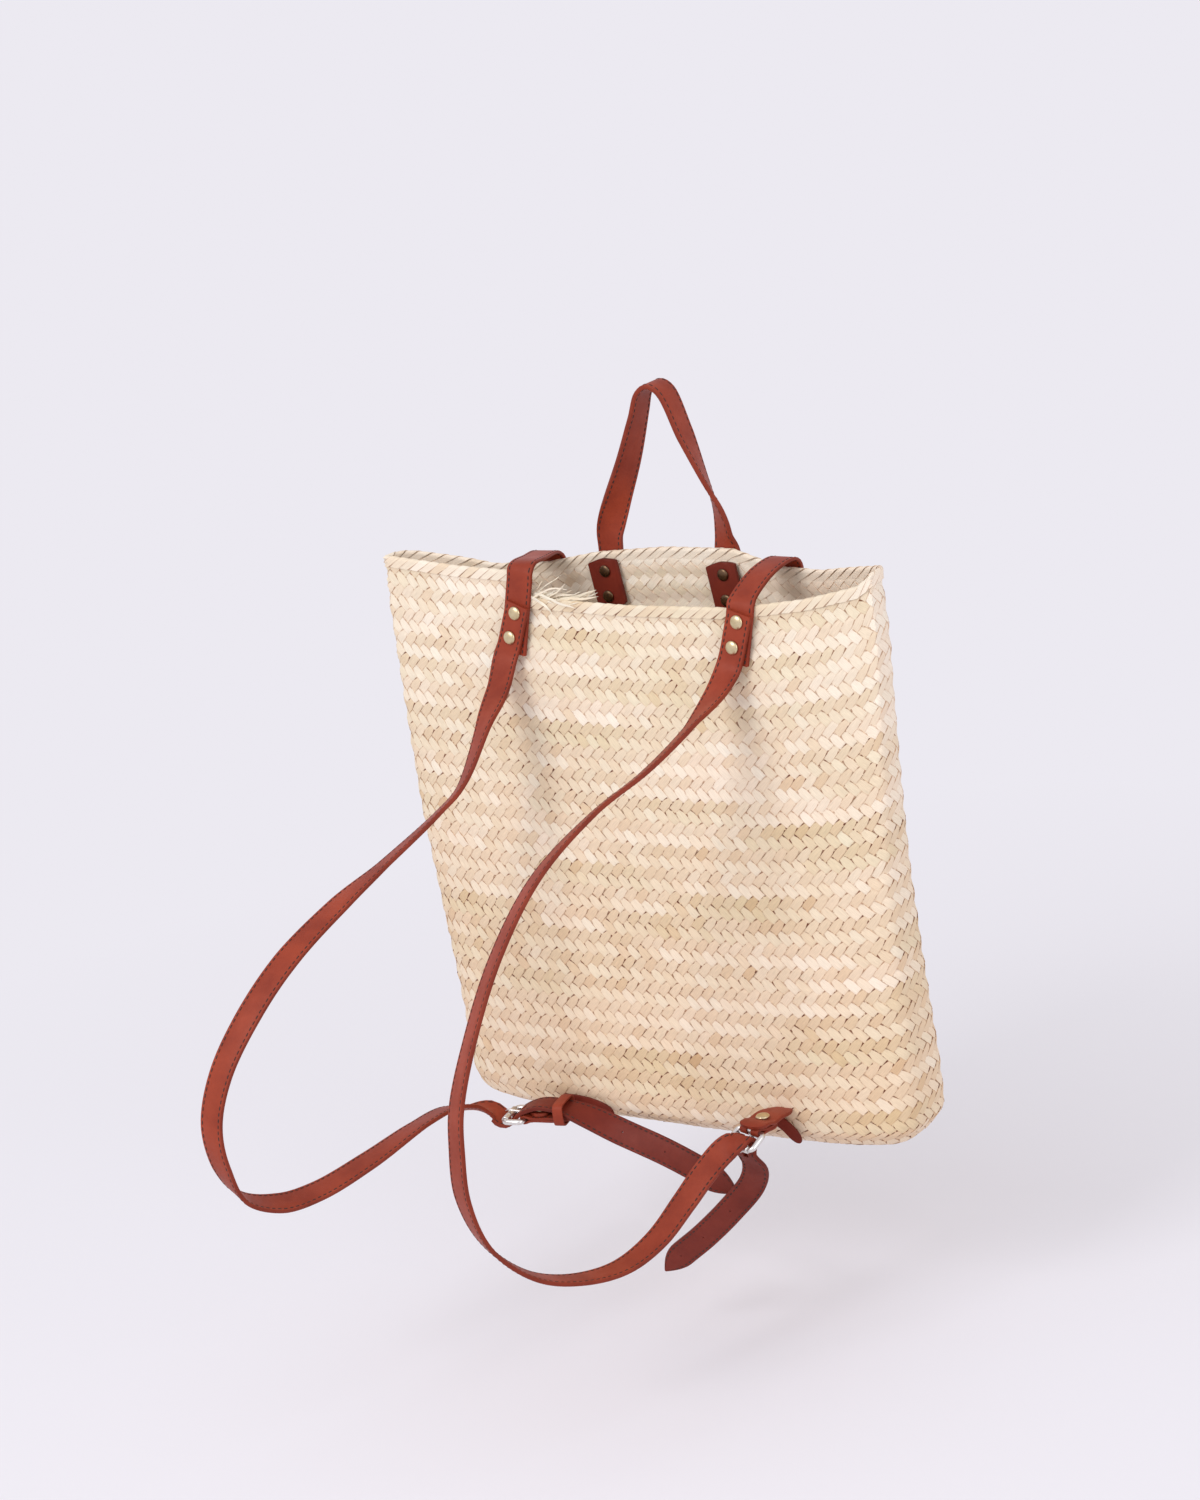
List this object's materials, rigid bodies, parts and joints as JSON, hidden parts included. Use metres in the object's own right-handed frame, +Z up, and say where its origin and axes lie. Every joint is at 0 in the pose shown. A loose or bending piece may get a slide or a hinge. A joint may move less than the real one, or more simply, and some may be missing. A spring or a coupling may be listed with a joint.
{
  "type": "straw backpack",
  "caption": "Open-topped plaited straw backpack with a riveted leather carry handle, bands over the mouth and looped leather shoulder straps held by roller buckles at the base",
  "frame": {"origin": "underside of the top of the carry handle, where a hook or a hand holds the bag", "axes": "+Z up; +X to the right of someone who looks at the panel with the shoulder straps; that panel is on the -Y side and the carry handle on the +Y side"},
  "size_m": [0.428, 0.3911, 0.6352],
  "materials": {
    "straw": "matte plaited palm leaf",
    "leather": "smooth cognac leather with edge stitching",
    "brass": "polished",
    "bronze": "dark antique",
    "nickel": "polished nickel"
  },
  "bodies": {
    "bag": {"anchor_rivet_left": "brass", "anchor_rivet_right": "brass", "anchor_tab_left": "leather", "anchor_tab_right": "leather", "band_rivet_left_1": "brass", "band_rivet_left_2": "brass", "band_rivet_right_1": "brass", "band_rivet_right_2": "brass", "bridge_band_left": "leather", "bridge_band_right": "leather", "handle_foot_left": "leather", "handle_foot_right": "leather", "handle_rivet_left_1": "bronze", "handle_rivet_left_2": "bronze", "handle_rivet_right_1": "bronze", "handle_rivet_right_2": "bronze", "handle_tab_left": "leather", "handle_tab_right": "leather", "strap_end_left": "leather", "strap_end_right": "leather", "strap_rivet_left_1": "brass", "strap_rivet_left_2": "brass", "strap_rivet_right_1": "brass", "strap_rivet_right_2": "brass", "straw_basket": "straw"},
    "strap_left": {"shoulder_strap_left": "leather", "chape_left": "leather", "buckle_frame_left": "nickel"},
    "strap_right": {"shoulder_strap_right": "leather", "chape_right": "leather", "buckle_frame_right": "nickel"},
    "handle": {"handle_loop": "leather"},
    "keeper": {"keeper_left": "leather"},
    "prong_left": {"buckle_prong_left": "nickel"},
    "prong_right": {"buckle_prong_right": "nickel"},
    "roller_left": {"buckle_roller_left": "nickel"},
    "roller_right": {"buckle_roller_right": "nickel"}
  },
  "joints": [
    {"name": "handle_fold", "type": "hinge", "parent": "bag", "child": "handle", "pos_m": [0, 0, -0.11325], "axis": [1, 0, 0], "range_deg": [-90, 90], "stiffness_Nm_per_rad": 0.2},
    {"name": "strap_swing_left", "type": "hinge", "parent": "bag", "child": "strap_left", "pos_m": [-0.102, -0.13078, -0.51925], "axis": [0, 0, 1], "range_deg": [-15, 4]},
    {"name": "strap_swing_right", "type": "hinge", "parent": "bag", "child": "strap_right", "pos_m": [0.097, -0.13078, -0.50225], "axis": [0, 0, 1], "range_deg": [-15, 20]},
    {"name": "prong_lift_left", "type": "hinge", "parent": "strap_left", "child": "prong_left", "pos_m": [-0.11306, -0.13353, -0.51925], "axis": [-0.2419, 0.9703, 0], "range_deg": [0, 16]},
    {"name": "prong_lift_right", "type": "hinge", "parent": "strap_right", "child": "prong_right", "pos_m": [0.09386, -0.14173, -0.50225], "axis": [0.9613, -0.2756, 0], "range_deg": [0, 16]},
    {"name": "roller_spin_left", "type": "hinge", "parent": "strap_left", "child": "roller_left", "pos_m": [-0.12762, -0.13716, -0.51925], "axis": [0.2419, -0.9703, 0], "continuous": true},
    {"name": "roller_spin_right", "type": "hinge", "parent": "strap_right", "child": "roller_right", "pos_m": [0.09028, -0.15422, -0.50975], "axis": [0.9613, -0.2756, 0], "continuous": true},
    {"name": "keeper_slide", "type": "slide", "parent": "strap_left", "child": "keeper", "axis": [0.9703, 0.2419, 0], "range_m": [-0.001, 0.003]}
  ]
}
